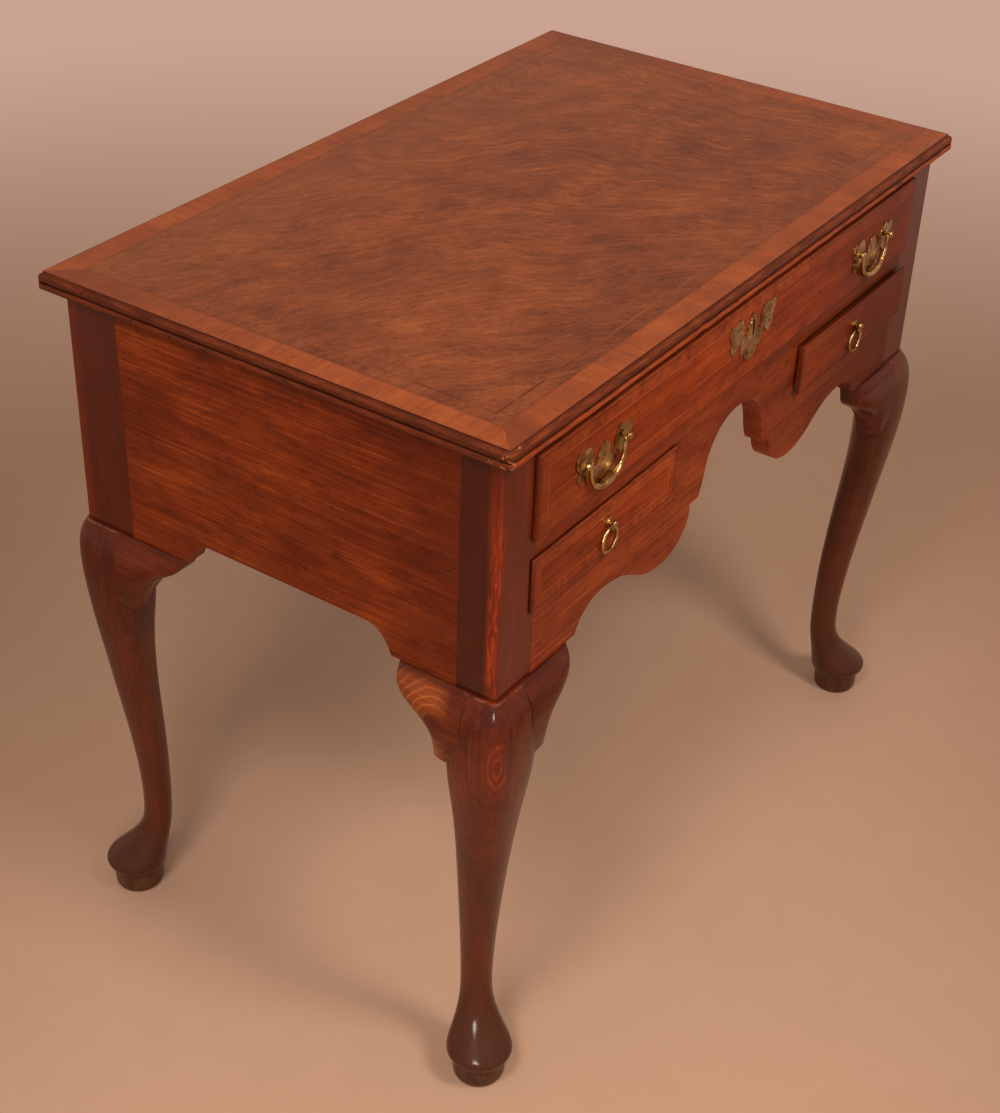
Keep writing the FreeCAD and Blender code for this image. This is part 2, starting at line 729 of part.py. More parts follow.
def make_bail(x):
    y_head = drawer_face - head_out
    count = 24
    stations = [bail_point(number / count) for number in range(1, count)]
    wires = []
    for number in range(1, len(stations) - 1):
        a = stations[number]
        before = stations[number - 1]
        after = stations[number + 1]
        fat = math.sin(math.pi * (number + 1) / count) ** 2
        radius = bail_thin + (bail_thick - bail_thin) * fat
        way = V(after[0] - before[0], 0, after[1] - before[1])
        circle = Part.Circle(V(x + a[0], y_head, handle_high + a[1]), way, radius)
        wires.append(Part.Wire(circle.toShape()))
    bow = Part.makeLoft(wires, True, False)
    ends = []
    for sign in (-1, 1):
        first = stations[1]
        inner = V(x + sign * abs(first[0]), y_head, handle_high + first[1])
        pivot_x = post_spacing / 2 - head_radius - bail_thin - slide_gap
        corner = V(x + sign * pivot_x, y_head, handle_high)
        knuckle = Part.makeSphere(bail_thin, corner)
        arm_way = inner - corner
        arm = Part.makeCylinder(bail_thin, arm_way.Length, corner, arm_way)
        joint = Part.makeSphere(bail_thin * 1.02, inner)
        pin = Part.makeCylinder(pin_radius, post_spacing / 2 - pivot_x + head_radius * 0.7, corner, V(sign, 0, 0))
        ends += [knuckle, arm, joint, pin]
    return fuse_all([bow] + ends)


def keyhole(y0, y1, grow):
    seat = V(0, y0, keyhole_high)
    round_part = Part.makeCylinder(keyhole_radius + grow, y1 - y0, seat, V(0, 1, 0))
    half = keyhole_slot / 2 + grow
    slot = box(-half, half, y0, y1, keyhole_high - keyhole_long - grow, keyhole_high)
    return fuse_all([round_part, slot])


def make_stud(x):
    # Rose, neck and ball, with an eye for the ring under the neck.
    out = V(0, -1, 0)
    hole_radius = ring_wire + ring_gap
    rose = Part.makeCylinder(rose_radius, rose_thick, V(x, small_face, stud_high), out)
    neck = Part.makeCylinder(stud_neck, stud_out, V(x, small_face, stud_high), out)
    head = Part.makeSphere(stud_radius, V(x, small_face - stud_out, stud_high))
    eye_seat = V(x - eye_half, small_face - eye_out, stud_high - eye_drop)
    eye = Part.makeCylinder(hole_radius + eye_wall, 2 * eye_half, eye_seat, V(1, 0, 0))
    hole = Part.makeCylinder(hole_radius, 4 * eye_half, eye_seat - V(eye_half, 0, 0), V(1, 0, 0))
    bolt = Part.makeCylinder(bolt_radius, front_thick, V(x, small_face, stud_high), V(0, 1, 0))
    nut_face = small_face + front_thick
    nut = box(x - nut_half, x + nut_half, nut_face, nut_face + nut_thick, stud_high - nut_half, stud_high + nut_half)
    eye = eye.common(box(x - rose_radius, x + rose_radius, small_face - 4 * eye_out, small_face, 0, table_high))
    return fuse_all([rose, neck, head, eye, bolt, nut]).cut(hole)


def make_ring(x):
    middle = V(x, small_face - eye_out, stud_high - eye_drop - ring_radius)
    return Part.makeTorus(ring_radius, ring_wire, middle, V(0, 1, 0))


def make_lock(front):
    y1 = drawer_face + front_thick
    y0 = y1 - lock_thick
    z1 = long_high - side_gap
    z0 = z1 - lock_high
    case = box(-lock_wide / 2, lock_wide / 2, y0, y1, z0, z1)
    by0 = y0 + (lock_thick - bolt_thick) / 2
    bolt = box(-bolt_wide / 2, bolt_wide / 2, by0, by0 + bolt_thick, z1 - bolt_high, z1)
    room = box(-bolt_wide / 2 - slide_gap, bolt_wide / 2 + slide_gap, by0 - slide_gap,
               by0 + bolt_thick + slide_gap, z1 - bolt_high, z1)
    lock_case = case.cut(room).cut(keyhole(y0, y1 - lock_wall, 0))
    return front.cut(case), lock_case, bolt


def bolt_mortise():
    y1 = drawer_face + front_thick
    by0 = y1 - lock_thick + (lock_thick - bolt_thick) / 2
    spare = 2 * slide_gap
    return box(-bolt_wide / 2 - spare, bolt_wide / 2 + spare, by0 - spare, by0 + bolt_thick + spare,
               long_high, long_high + bolt_throw + side_gap)


def make_case(parts):
    legs = {}
    for place, back in (("front", False), ("back", True)):
        leg = make_leg(back)
        ears = {"side": make_ear(back, True, leg)}
        if not back:
            ears["face"] = make_ear(back, False, leg)
        for word, right in (("left", False), ("right", True)):
            legs["leg_" + place + "_" + word] = to_corner(leg.copy(), right, back)
            for spot, ear in ears.items():
                parts["ear_" + place + "_" + word + "_" + spot] = to_corner(ear.copy(), right, back)
    sides = {-1: make_side(-1), 1: make_side(1)}
    back = make_back_board()
    top_rail = make_rail(long_high, case_top, front_post_deep)
    mid_rail = make_rail(rail_low, long_low, front_post_deep)
    apron = make_apron()
    for name, leg in legs.items():
        sign = 1 if "right" in name else -1
        tools = [sides[sign]]
        tools += [back] if "back" in name else [top_rail, mid_rail, apron]
        parts[name] = one_solid(cut_all(leg, tools))
    parts["side_board_left"] = sides[-1]
    parts["side_board_right"] = sides[1]
    parts["back_board"] = back
    parts["top_rail"] = top_rail.cut(bolt_mortise())
    parts["mid_rail"] = mid_rail
    parts["apron"] = apron
    behind_rail = case_front + front_post_deep
    behind_apron = case_front + board_thick
    for word, sign in (("left", -1), ("right", 1)):
        parts["long_runner_" + word] = make_outer_runner(sign, long_low, behind_rail)
        parts["outer_runner_" + word] = make_outer_runner(sign, small_low, behind_apron)
        parts["inner_runner_" + word] = make_inner_runner(sign)


def make_top_parts(parts):
    bands = make_bands()
    line = make_line()
    parts["top_board"] = cut_all(make_top(), list(bands.values()) + [line])
    parts.update(bands)
    parts["top_line"] = line


def make_drawers(parts):
    long_drawer = make_drawer("long", -opening_half, opening_half, long_low, long_high, drawer_face, long_rear,
                              drawer_side, 3)
    front = long_drawer["long_front"].cut(keyhole(drawer_face, drawer_face + front_thick, 0))
    front, lock_case, bolt = make_lock(front)
    for word, sign in (("left", -1), ("right", 1)):
        middle = sign * handle_middle
        for place, step in (("outer", sign), ("inner", -sign)):
            x = middle + step * post_spacing / 2
            post = make_post(x)
            front = front.cut(Part.makeCylinder(bolt_radius, front_thick, V(x, drawer_face, handle_high), V(0, 1, 0)))
            parts["post_" + word + "_" + place] = post
        parts["plate_" + word] = make_handle_plate(middle)
        parts["bail_" + word] = make_bail(middle)
    long_drawer["long_front"] = front
    parts.update(long_drawer)
    parts["lock_case"] = lock_case
    parts["lock_bolt"] = bolt
    parts["escutcheon"] = make_escutcheon()
    for word, sign, pulled in (("left", -1, 0), ("right", 1, small_rest_open)):
        x0, x1 = sorted((sign * small_inner, sign * opening_half))
        middle = (x0 + x1) / 2
        drawer = make_drawer("small_" + word, x0, x1, small_low, rail_low, small_face, small_rear, small_side, 2)
        hole = Part.makeCylinder(bolt_radius, front_thick, V(middle, small_face, stud_high), V(0, 1, 0))
        drawer["small_" + word + "_front"] = drawer["small_" + word + "_front"].cut(hole)
        drawer["stud_" + word] = make_stud(middle)
        drawer["ring_" + word] = make_ring(middle)
        for shape in drawer.values():
            shape.translate(V(0, -pulled, 0))
        parts.update(drawer)


def main():
    os.makedirs("parts", exist_ok=True)
    parts = {}
    make_top_parts(parts)
    make_case(parts)
    make_drawers(parts)
    for name, shape in parts.items():
        shape.exportStep("parts/" + name + ".step")


main()
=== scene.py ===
import math
import random

import bmesh
import bpy
from mathutils import Matrix, Vector, noise


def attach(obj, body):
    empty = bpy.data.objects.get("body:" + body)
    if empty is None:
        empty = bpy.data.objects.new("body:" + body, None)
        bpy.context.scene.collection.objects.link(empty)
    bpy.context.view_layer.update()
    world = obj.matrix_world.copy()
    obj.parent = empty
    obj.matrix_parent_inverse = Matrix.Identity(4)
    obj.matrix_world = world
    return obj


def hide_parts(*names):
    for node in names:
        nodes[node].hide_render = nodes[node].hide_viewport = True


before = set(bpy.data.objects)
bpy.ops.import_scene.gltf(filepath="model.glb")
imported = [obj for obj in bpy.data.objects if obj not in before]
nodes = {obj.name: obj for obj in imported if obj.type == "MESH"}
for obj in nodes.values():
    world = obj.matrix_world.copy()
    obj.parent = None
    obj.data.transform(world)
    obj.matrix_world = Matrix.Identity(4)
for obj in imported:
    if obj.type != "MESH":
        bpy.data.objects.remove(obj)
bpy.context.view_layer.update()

# Places in the row frame, in millimetres
TOP_Z = 711.0
TOP_UNDER = 695.0
TOP_X = 403.0
TOP_FRONT = -247.068
TOP_BACK = 252.932
TOP_HALF_DEEP = 250.0
CASE_X = 390.0
CASE_FRONT = -232.068
CASE_BACK = 231.932
POST_WIDE = 49.0
KNEE_Z = 461.0
MOULDING_WIDE = 5.0
BEAD_Z = 698
HOLLOW_Z = 706
VENEER_LONG = 138.0

# Worn top: spacing of the cuts, how far in from the edge the wear pushes, and how many knocks
CUT_PITCH = 7.0
CORE_IN = 9.0
KNOCK_COUNT = 46

# Millimetres in a metre; eased edges and the reach for joining equal points, in metres
MM = 1000
BRASS_EASE = 0.00035
FRONT_EASE = 0.0006
WELD_REACH = 0.000001

# Drawer fronts: left, right, bottom, top and the width of the banded border
FRONTS = {
    "long_front": (-346.0, 346.0, 598.5, 678.5, 13.5),
    "small_left_front": (-346.0, -117.0, 527.0, 579.5, 11.5),
    "small_right_front": (117.0, 346.0, 527.0, 579.5, 11.5),
}

# Oak colours from dark to light: a place on the ramp and red, green, blue
PALETTES = {
    "leg": [(0.05, 46, 14, 6), (0.38, 70, 23, 9), (0.62, 92, 33, 12), (0.95, 122, 49, 19)],
    "side": [(0.05, 76, 25, 9), (0.38, 104, 38, 13), (0.62, 126, 51, 18), (0.95, 164, 76, 30)],
    "front": [(0.05, 94, 32, 11), (0.38, 132, 52, 20), (0.62, 155, 67, 28), (0.95, 182, 88, 40)],
    "drawer": [(0.05, 92, 28, 8), (0.38, 133, 47, 12), (0.62, 160, 62, 17), (0.95, 190, 87, 30)],
    "inner": [(0.05, 62, 37, 24), (0.38, 94, 60, 40), (0.62, 118, 80, 55), (0.95, 144, 104, 76)],
    "lining": [(0.05, 98, 62, 40), (0.38, 134, 90, 60), (0.62, 156, 110, 76), (0.95, 182, 136, 100)],
}


# A screen colour from 0 to 255 as the renderer takes it
def rgb(red, green, blue):
    def linear(value):
        value = value / 255
        return value / 12.92 if value <= 0.04045 else ((value + 0.055) / 1.055) ** 2.4
    return (linear(red), linear(green), linear(blue), 1)


# Studio: backdrop, lamps, and the photograph's camera with its place in metres
BACKDROP = rgb(203, 164, 146)
LAMP_COLOUR = (1.0, 0.87, 0.74)
LAMP_AIM = Vector((0, 0, 0.4))
CAMERA_PLACE = (-1.43576, -0.92448, 1.46095)
FOCAL_PIXELS = 1941.4
PHOTO_HEIGHT = 1113


# Field: a value that a material works out at each point
class Field:
    def __init__(self, shade, socket):
        self.shade = shade
        self.socket = socket

    def __add__(self, other):
        return self.shade.math("ADD", self, other)

    __radd__ = __add__

    def __mul__(self, other):
        return self.shade.math("MULTIPLY", self, other)

    def __sub__(self, other):
        return self.shade.math("SUBTRACT", self, other)

    def __rsub__(self, other):
        return self.shade.math("SUBTRACT", other, self)

    def __truediv__(self, other):
        return self.shade.math("DIVIDE", self, other)

    def __neg__(self):
        return self.shade.math("MULTIPLY", self, -1)

    def size(self):
        return self.shade.math("ABSOLUTE", self)

    def low(self, other):
        return self.shade.math("MINIMUM", self, other)

    def high(self, other):
        return self.shade.math("MAXIMUM", self, other)

    def above(self, start, end):
        return self.shade.rise(self, start, end)

    def between(self, low, high, soft):
        return self.above(low - soft, low + soft) * (1 - self.above(high - soft, high + soft))


# Shade: one material and its nodes, with the place of a point in millimetres
class Shade:
    def __init__(self, name):
        self.material = bpy.data.materials.new(name)
        self.material.use_nodes = True
        self.tree = self.material.node_tree
        self.tree.nodes.clear()
        self.out = self.node("OutputMaterial")
        self.bsdf = self.node("BsdfPrincipled")
        self.tree.links.new(self.bsdf.outputs[0], self.out.inputs["Surface"])
        coords = self.node("TexCoord")
        mm = self.node("VectorMath", operation="SCALE")
        self.tree.links.new(coords.outputs["Object"], mm.inputs[0])
        mm.inputs["Scale"].default_value = MM
        split = self.node("SeparateXYZ")
        self.tree.links.new(mm.outputs[0], split.inputs[0])
        self.x, self.y, self.z = [Field(self, split.outputs[i]) for i in range(3)]

    def node(self, kind, **settings):
        made = self.tree.nodes.new("ShaderNode" + kind)
        for key, value in settings.items():
            setattr(made, key, value)
        return made

    def put(self, socket, value):
        if isinstance(value, Field):
            self.tree.links.new(value.socket, socket)
        else:
            socket.default_value = value

    def math(self, operation, a, b=0.0):
        made = self.node("Math", operation=operation)
        self.put(made.inputs[0], a)
        self.put(made.inputs[1], b)
        return Field(self, made.outputs[0])

    def rise(self, value, start, end):
        # From 0 at the start to 1 at the end, either way round
        made = self.node("MapRange", interpolation_type="SMOOTHSTEP")
        falling = start > end
        self.put(made.inputs["Value"], value)
        made.inputs["From Min"].default_value = min(start, end)
        made.inputs["From Max"].default_value = max(start, end)
        made.inputs["To Min"].default_value = 1 if falling else 0
        made.inputs["To Max"].default_value = 0 if falling else 1
        return Field(self, made.outputs["Result"])

    def point(self, x, y, z):
        made = self.node("CombineXYZ")
        for socket, value in zip(made.inputs, (x, y, z)):
            self.put(socket, value)
        return Field(self, made.outputs[0])

    def noise(self, x, y, z, detail, rough=0.5):
        made = self.node("TexNoise", noise_dimensions="3D")
        self.put(made.inputs["Vector"], self.point(x, y, z))
        made.inputs["Scale"].default_value = 1
        made.inputs["Detail"].default_value = detail
        made.inputs["Roughness"].default_value = rough
        return Field(self, made.outputs[0])

    def cells(self, x, y, z):
        made = self.node("TexVoronoi")
        self.put(made.inputs["Vector"], self.point(x, y, z))
        made.inputs["Scale"].default_value = 1
        return Field(self, made.outputs["Distance"])

    def mix(self, share, a, b):
        made = self.node("Mix", data_type="RGBA")
        self.put(made.inputs[0], share)
        self.put(made.inputs[6], a)
        self.put(made.inputs[7], b)
        return Field(self, made.outputs[2])

    def tint(self, colour, share, red, green, blue):
        return self.mix(share, colour, rgb(red, green, blue))

    def ramp(self, value, stops):
        # Each stop is a place from 0 to 1 and red, green, blue
        made = self.node("ValToRGB")
        self.put(made.inputs[0], value)
        ramp = made.color_ramp
        while len(ramp.elements) < len(stops):
            ramp.elements.new(0.5)
        for element, (place, red, green, blue) in zip(ramp.elements, stops):
            element.position = place
            element.color = rgb(red, green, blue)
        return Field(self, made.outputs[0])

    def finish(self, colour, roughness, bump=None, depth=0.0003, strength=0.5, metal=0.0, coat=0.10,
               coat_rough=0.16, shine=0.12):
        self.put(self.bsdf.inputs["Base Color"], colour)
        self.put(self.bsdf.inputs["Roughness"], roughness)
        self.bsdf.inputs["Metallic"].default_value = metal
        self.bsdf.inputs["Coat Weight"].default_value = coat
        self.bsdf.inputs["Coat Roughness"].default_value = coat_rough
        self.bsdf.inputs["Specular IOR Level"].default_value = shine
        if bump is not None:
            made = self.node("Bump")
            made.inputs["Strength"].default_value = strength
            made.inputs["Distance"].default_value = depth
            self.put(made.inputs["Height"], bump)
            self.tree.links.new(made.outputs[0], self.bsdf.inputs["Normal"])
        return self.material


# Oak: growth bands, fine lines, dashes, pores, patches and grime
class Oak:
    def __init__(self, s, along, across, deep, band, sway):
        bend = s.noise(along / 260, across / 120, deep / 120, 2) - 0.5
        a = across + bend * sway
        d = deep + bend * sway
        self.growth = s.noise(along / 340, a / band, d / band, 3, 0.6)
        self.fine = s.noise(along / 46, a / 1.3, d / 1.3, 3, 0.6)
        self.dash = s.noise(along / 22, a / 1.9, d / 1.9 + 5, 2, 0.5)
        self.pores = s.noise(along / 10, a / 0.6, d / 0.6, 2, 0.6).above(0.57, 0.72) * 0.8
        self.patch = s.noise(along / 80, across / 36, deep / 36, 4, 0.62)
        self.wide = s.noise(along / 260 + 7, across / 130, deep / 130, 2)
        self.grime = s.noise(along / 24 + 3, across / 12, deep / 12, 4, 0.7)

    def tone(self, growth, fine, patch, wide):
        # How much each kind of figure moves the colour along the palette
        lines = (self.growth - 0.5) * growth * 2 + (self.fine - 0.5) * fine * 2
        return lines + (self.patch - 0.5) * patch * 2 + (self.wide - 0.5) * wide * 2 + 0.5

    def bump(self):
        return self.growth * 0.4 + self.fine * 0.35 - self.pores * 0.8 + self.patch * 0.8


# Sparse dark spots and short nicks
def specks(s, along, across, deep, reach=9.0, size=0.9):
    cell = s.cells(along / reach, across / reach, deep / reach)
    gate = s.noise(along / 31, across / 31, deep / 31, 1).above(0.56, 0.60)
    return (1 - cell.above(size / reach * 0.6, size / reach * 1.6)) * gate


# Thin pale rubs along and across the surface
def scratches(s, along, across, deep):
    rub = s.noise(along / 60, across / 0.5, deep / 0.5, 1).above(0.70, 0.76)
    gate = s.noise(along / 45 + 5, across / 30, deep / 30, 2).above(0.54, 0.66)
    return rub * gate


# How far a point of the top lies in from the nearest edge
def from_edge(s):
    return (TOP_X - s.x.size()).low(s.y - TOP_FRONT).low(TOP_BACK - s.y)


# Square of the distance from the corner that is nearest in the photograph
def from_corner(s):
    return (s.x + TOP_X) * (s.x + TOP_X) + (s.y - TOP_FRONT) * (s.y - TOP_FRONT)


# Flow of the top's figure: it slants at the left and turns straight across at the right
def top_flow(s):
    x, y = s.x, s.y
    p = (x + 400) / 800
    slow = s.noise(x / 240, y / 170, 0, 2) - 0.5
    swirl = s.noise(x / 120 + 9, y / 100, 0, 2) - 0.5
    across = (p * 0.42 + p * p * 0.29) * 800 + y * (0.92 - p * p * 0.92) + slow * 120 + swirl * 34
    along = (p * 0.92 - p * p * p * 0.307) * 800 - y * (p * 0.58 + 0.42) + slow * 60
    return along, across, slow


# Flames gather at the middle and right of the top, the far left stays plain
def top_flames(s, along, across, slow, patch, field):
    flames = s.noise(along / 34 + 8, across / 5.5, 3, 3, 0.6)
    zone = s.rise(s.x + s.y * 0.4 + slow * 300, -260, 80) * patch.above(0.36, 0.60)
    field = s.tint(field, flames.above(0.52, 0.68) * zone * 0.5, 172, 92, 47)
    return s.tint(field, flames.above(0.44, 0.32) * zone * 0.3, 76, 34, 17)


# Ragged rim along the banding, blots, spots and rubs
def top_marks(s, field):
    x, y = s.x, s.y
    ragged = s.noise(x / 9, y / 9, 1, 3, 0.6)
    rim = from_edge(s).between(30.5, 33.5, 1.2) * ragged.above(0.3, 0.7)
    field = s.tint(field, rim * 0.35, 82, 37, 20)
    blot = s.cells(x / 88, y / 64, 0).above(0.13, 0.03) * s.noise(x / 7, y / 7, 0, 3).above(0.38, 0.60)
    field = s.tint(field, blot * 0.45, 62, 28, 15)
    field = s.tint(field, specks(s, x, y, 0, 12) * 0.7, 44, 20, 11)
    return s.tint(field, scratches(s, x, y, 0) * 0.22, 180, 108, 66)


# Field of the top inside the banding: its colour with painted sheen towards the back, roughness and bump
def top_field(s):
    x, y = s.x, s.y
    along, across, slow = top_flow(s)
    broad = s.noise(along / 90, across / 16, 0, 3, 0.6)
    flecks = s.noise(along / 24, across / 4.6, 0, 5, 0.7)
    small = s.noise(along / 7, across / 1.8, 4, 3, 0.65)
    lines = s.noise(along / 60, across / 0.9, 7, 2, 0.6)
    patch = s.noise(x / 60, y / 44, 0, 4, 0.6)
    wide = s.noise(x / 240 + 4, y / 170, 0, 2)
    tone = (broad - 0.5) * 0.5 + (flecks - 0.5) * 0.9 + (small - 0.5) * 0.75 + (lines - 0.5) * 0.35
    tone = tone + (patch - 0.5) * 0.7 + (wide - 0.5) * 0.5 + 0.5
    # Painted sheen: the tone is lighter towards the back right and a little darker at the front
    tone = tone + s.rise(x + y, -200, 500) * 0.08 - s.rise(x * 0.5 + y, -160, -380) * 0.05
    field = s.ramp(tone, [(0.12, 80, 36, 18), (0.36, 106, 51, 26), (0.54, 126, 64, 33),
                          (0.72, 143, 76, 40), (0.92, 164, 91, 50)])
    # Painted sheen: paler towards the back
    field = s.tint(field, s.rise(y, 60, 250) * 0.3, 142, 84, 54)
    field = top_flames(s, along, across, slow, patch, field)
    field = top_marks(s, field)
    rough = 0.36 + (patch - 0.5) * 0.22 + (wide - 0.5) * 0.14 + small * 0.06
    bump = broad * 0.3 + small * 0.3 + lines * 0.2 + patch * 1.4 + wide * 3
    return field, rough, bump


# Moulding of the top, from above: painted highlight on the hollow, painted shade in the quirk and along the
# sides, bead lighter along the front where rubbed and as a painted highlight
def top_moulding(s, rub):
    x, y, z = s.x, s.y, s.z
    streak = s.noise(x / 16, y / 16, z, 3, 0.6)
    edge = s.ramp((rub - 0.5) * 1.2 + (streak - 0.5) * 0.8 + 0.5,
                  [(0.1, 54, 19, 7), (0.5, 92, 37, 13), (0.9, 130, 57, 21)])
    fillets = s.noise(x / 90, y / 90, z / 0.7, 3, 0.6)
    edge = s.tint(edge, fillets.above(0.54, 0.66) * 0.4, 118, 54, 26)
    # Painted highlight on the hollow, stronger where rubbed
    lit = z.between(706.0, 708.2, 0.7)
    edge = s.tint(edge, lit * (rub.above(0.40, 0.60) * 0.5 + 0.1), 138, 66, 35)
    # Painted shade in the quirk
    edge = s.tint(edge, z.between(700.2, 702.4, 0.7) * 0.7, 34, 12, 6)
    # Painted shade on the side runs of the moulding
    front = s.rise((y - TOP_FRONT) - (TOP_X - x.size()), 4, -4)
    edge = s.tint(edge, (1 - front) * 0.4, 54, 23, 11)
    # Bead lighter along the front: rubbed wear and a painted highlight
    bead = z.between(696.0, 699.8, 0.7) * (front * 0.75 + 0.12)
    gold = s.ramp((streak - 0.5) * 1.6 + 0.5, [(0.1, 122, 42, 12), (0.5, 164, 64, 19), (0.9, 196, 98, 38)])
    edge = s.mix(bead * (rub.above(0.33, 0.54) * 0.75 + 0.15), edge, gold)
    edge = s.tint(edge, specks(s, x, y, z, 9, 1.2) * 0.8, 24, 9, 5)
    # A few pale knocks at the nearest corner
    pale = s.noise(x / 4.6, y / 4.6, z / 3.2, 2).above(0.60, 0.66) * from_corner(s).above(900, 200)
    return s.tint(edge, pale * 0.5, 190, 124, 88)


# Top board: field above, moulding all round, dull underside darkened as painted shade
def top_material():
    s = Shade("oak_top")
    field, rough, bump = top_field(s)
    rub = s.noise(s.x / 34, s.y / 34, s.z / 6, 4, 0.65)
    side = s.rise(s.z, TOP_Z - 0.10, TOP_Z - 0.30).high(from_edge(s).above(5.4, 4.9))
    colour = s.mix(side, field, top_moulding(s, rub))
    # Painted shade on the underside
    colour = s.tint(colour, s.rise(s.z, TOP_UNDER + 0.4, TOP_UNDER + 0.05), 60, 34, 20)
    return s.finish(colour, rough, bump + rub * side * 3, depth=0.0004, coat=0.16)


# Lengths of veneer, each with its own depth of colour, and the joints between them
def veneer_lengths(s, place, colour):
    own = s.noise(s.math("FLOOR", place / VENEER_LONG) * 3.7 + 0.5, 0.3, 0.8, 1)
    colour = s.tint(colour, own.above(0.35, 0.65) * 0.35, 122, 56, 28)
    joint = s.math("PINGPONG", place, VENEER_LONG / 2)
    return s.tint(colour, joint.above(0.45, 0.2) * 0.45, 70, 30, 16)


# Dark wax along both edges of the banding
def band_wax(s, run, cross, colour):
    near = from_edge(s)
    ragged = s.noise(run / 5, cross / 5, 1, 3, 0.6)
    colour = s.tint(colour, near.above(6.3, 5.5) * 0.7, 72, 29, 13)
    colour = s.tint(colour, (near + ragged * 3).above(30.6, 32.6) * 0.45, 84, 38, 19)
    return s.tint(colour, s.rise(s.z, TOP_Z - 0.05, TOP_Z - 0.25), 62, 25, 12)


# A darker let-in corner with the rounded end of the side's veneer
def let_in_corner(s, tone, colour):
    corner = s.rise(s.x, -338, -362) * s.rise(s.y, 0, -10)
    colour = s.tint(colour, corner * 0.55, 98, 43, 23)
    a = (s.x + 387) / 13
    b = (s.y + 216) / 12
    tongue = a * a + b * b
    veneer = s.ramp(tone, [(0.1, 128, 62, 28), (0.9, 168, 88, 44)])
    colour = s.mix(tongue.above(1.08, 0.96), colour, veneer)
    return s.tint(colour, tongue.between(0.98, 1.12, 0.03) * 0.6, 74, 30, 15)


# Cross-grained banding of the top, by direction
def band_material(name, along_y):
    s = Shade(name)
    run, cross = (s.y, s.x) if along_y else (s.x, s.y)
    bend = s.noise(run / 60, cross / 60, 0, 2) - 0.5
    r = run + bend * 12
    growth = s.noise(r / 4.2, cross / 150, 0, 3, 0.6)
    fine = s.noise(r / 1.1, cross / 26, 0, 3, 0.6)
    pores = s.noise(r / 0.6, cross / 8, 0, 2).above(0.58, 0.70)
    patch = s.noise(run / 46, cross / 40, 0, 3, 0.6)
    tone = (growth - 0.5) * 0.7 + (fine - 0.5) * 0.55 + (patch - 0.5) * 1.1 + 0.5
    colour = s.ramp(tone, [(0.1, 116, 54, 24), (0.5, 150, 73, 33), (0.9, 180, 93, 45)])
    colour = s.tint(colour, pores * 0.35, 84, 38, 20)
    colour = veneer_lengths(s, run + bend * 3, colour)
    colour = band_wax(s, run, cross, colour)
    if along_y:
        colour = s.tint(colour, s.rise(s.y, 20, 200) * 0.55, 108, 52, 28)
    else:
        colour = let_in_corner(s, tone, colour)
    colour = s.tint(colour, specks(s, s.x, s.y, 0, 8, 0.8) * 0.7, 54, 24, 13)
    colour = s.tint(colour, scratches(s, cross, run, 0) * 0.35, 196, 126, 82)
    rough = 0.36 + (patch - 0.5) * 0.2 + pores * 0.1
    bump = growth * 0.3 + fine * 0.3 - pores * 0.6 + patch * 1.2
    return s.finish(colour, rough, bump, depth=0.0004, coat=0.16)


# Inlaid line: dark near the corner and in short lengths, pale in others
def line_material():
    s = Shade("inlay_line")
    vary = s.noise(s.x / 60, s.y / 60, 0, 3, 0.6)
    reach = from_corner(s)
    pale = s.rise(reach, 16000, 40000) * vary.above(0.36, 0.62) * from_edge(s).above(39.8, 40.3)
    short = s.noise(s.x / 24, s.y / 24, 3, 2).above(0.44, 0.56)
    dark = s.mix(short.high(s.rise(reach, 16000, 50000)), rgb(92, 43, 22), rgb(116, 58, 30))
    colour = s.tint(dark, pale * 0.55, 144, 76, 40)
    return s.finish(colour, 0.42, vary, strength=0.3, coat=0.16)


# Painted shade in the gaps round the lipped drawers
def gap_shade(s, colour):
    for x0, x1, z0, z1, _ in FRONTS.values():
        past = (s.x - x1).high(x0 - s.x).high(s.z - z1).high(z0 - s.z)
        front = s.rise(s.y, CASE_FRONT + 6, CASE_FRONT + 2)
        colour = s.tint(colour, past.between(-3, 1.6, 0.5) * front * 0.75, 26, 9, 5)
    return colour


# Corner: how far out along the diagonal of a leg a point lies, and how far to its side
class Corner:
    def __init__(self, s, right, back):
        past_x = (s.x if right else -s.x) - CASE_X
        past_y = (s.y - CASE_BACK) if back else (-s.y + CASE_FRONT)
        self.out = past_x * 0.707 + past_y * 0.707
        self.side = (past_x - past_y) * 0.707
        self.sway = s.noise(s.z / 70, 0.2, 0.7, 3, 0.55) - 0.5
        self.loop = s.noise(s.x / 8, s.y / 8, s.z / 50, 3, 0.55)


# Post: lighter outer corner, partly rubbed and partly a painted highlight, red with fine rings that close
# into loops, and painted shade on the side face
def post_look(s, wood, corner, back, colour):
    post = s.rise(s.z, KNEE_Z - 4, KNEE_Z + 2)
    reach = (corner.side - 3.5 + corner.sway * 9 + (corner.loop - 0.5) * 6).size()
    # Lighter strip down the outer corner, fading towards the top: rubbed wood and a painted highlight
    corner_wear_and_glint = s.rise(reach, 5.5, 1.5) * post * s.rise(s.z, 668, 590)
    rings = s.math("SINE", corner.side * 1.3 + corner.loop * 34)
    glow = s.ramp(rings * 0.35 + 0.15 + wood.fine * 0.7,
                  [(0.1, 92, 26, 8), (0.5, 138, 42, 12), (0.9, 184, 66, 22)])
    share = wood.patch.above(0.30, 0.55) * 0.55 + 0.4
    if back:
        share = share * 0.15
    colour = s.mix(corner_wear_and_glint * share, colour, glow)
    colour = s.tint(colour, post * 0.28, 122, 36, 11)
    # Painted shade on the side face
    side_face_shade = s.rise(corner.side, 6, 11) * post
    return s.tint(colour, side_face_shade * (0.4 if back else 0.75), 50, 16, 6)


